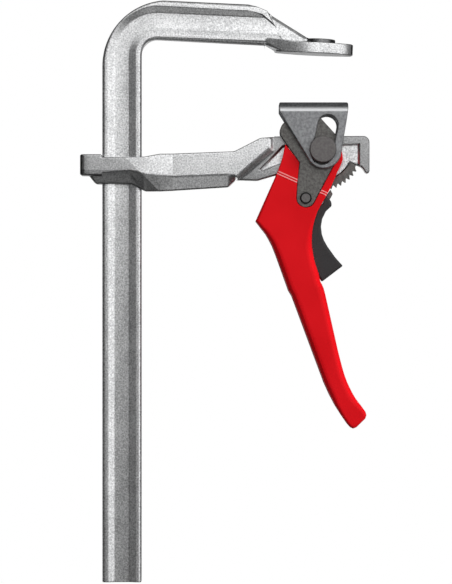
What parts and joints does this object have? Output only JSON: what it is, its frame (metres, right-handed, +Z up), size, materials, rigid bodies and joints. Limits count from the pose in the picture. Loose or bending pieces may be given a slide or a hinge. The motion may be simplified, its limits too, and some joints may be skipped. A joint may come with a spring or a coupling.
{
  "type": "quick release bar clamp",
  "caption": "All-steel bar clamp with a bent bar and fixed jaw, a sliding arm, a red ratchet cam lever with a release trigger, and a lifting pressure plate.",
  "frame": {"origin": "centre of the fixed jaw's face, the face that meets the work", "axes": "+X from the bar towards the jaws' tip, +Y through the clamp's thickness, away from the side pictured, +Z up along the bar"},
  "size_m": [0.1846, 0.0364, 0.3716],
  "materials": {
    "forged_steel": "grainy zinc-grey satin",
    "hard_steel": "dull grey",
    "sheet_steel": "dull grey satin",
    "dark_steel": "blackened",
    "bright_steel": "bright",
    "red_moulding": "satin gloss",
    "black_moulding": "fine matt"
  },
  "bodies": {
    "bar": {"fixed_bar": "forged_steel"},
    "arm": {"sliding_arm": "forged_steel", "ratchet_segment": "hard_steel"},
    "pin": {"main_pin": "dark_steel", "main_pin_ring": "dark_steel"},
    "plate": {"pressure_plate": "sheet_steel"},
    "lever": {"lever_handle": "red_moulding", "cam_plate_front": "hard_steel", "cam_plate_rear": "hard_steel", "pawl_rivet": "dark_steel", "pivot_sleeve": "bright_steel", "return_spring": "bright_steel"},
    "release": {"trigger": "black_moulding", "pawl": "dark_steel", "tie_pin": "bright_steel"}
  },
  "joints": [
    {"name": "arm_slide", "type": "slide", "parent": "bar", "child": "arm", "axis": [0, 0, 1], "range_m": [-0.24, 0.025]},
    {"name": "lever_swing", "type": "hinge", "parent": "arm", "child": "lever", "pos_m": [0.0056, 0, -0.0614], "axis": [0, 1, 0], "range_deg": [-45, 15]},
    {"name": "plate_swivel", "type": "hinge", "parent": "arm", "child": "pin", "pos_m": [0.0056, 0, -0.0614], "axis": [0, 1, 0], "range_deg": [-1.5, 4]},
    {"name": "plate_lift", "type": "slide", "parent": "pin", "child": "plate", "axis": [0.1942, 0, 0.981], "range_m": [-0.009, 0.003]},
    {"name": "trigger_pull", "type": "hinge", "parent": "lever", "child": "release", "pos_m": [-0.00515, 0, -0.09225], "axis": [0, 1, 0], "range_deg": [-8, 12], "stiffness_Nm_per_rad": 0.3, "springref_deg": -17.19, "deforming": ["return_spring"]}
  ],
  "couplings": [
    {"joint": "plate_lift", "follows": "lever_swing", "m_per_rad": 0.0112}
  ]
}
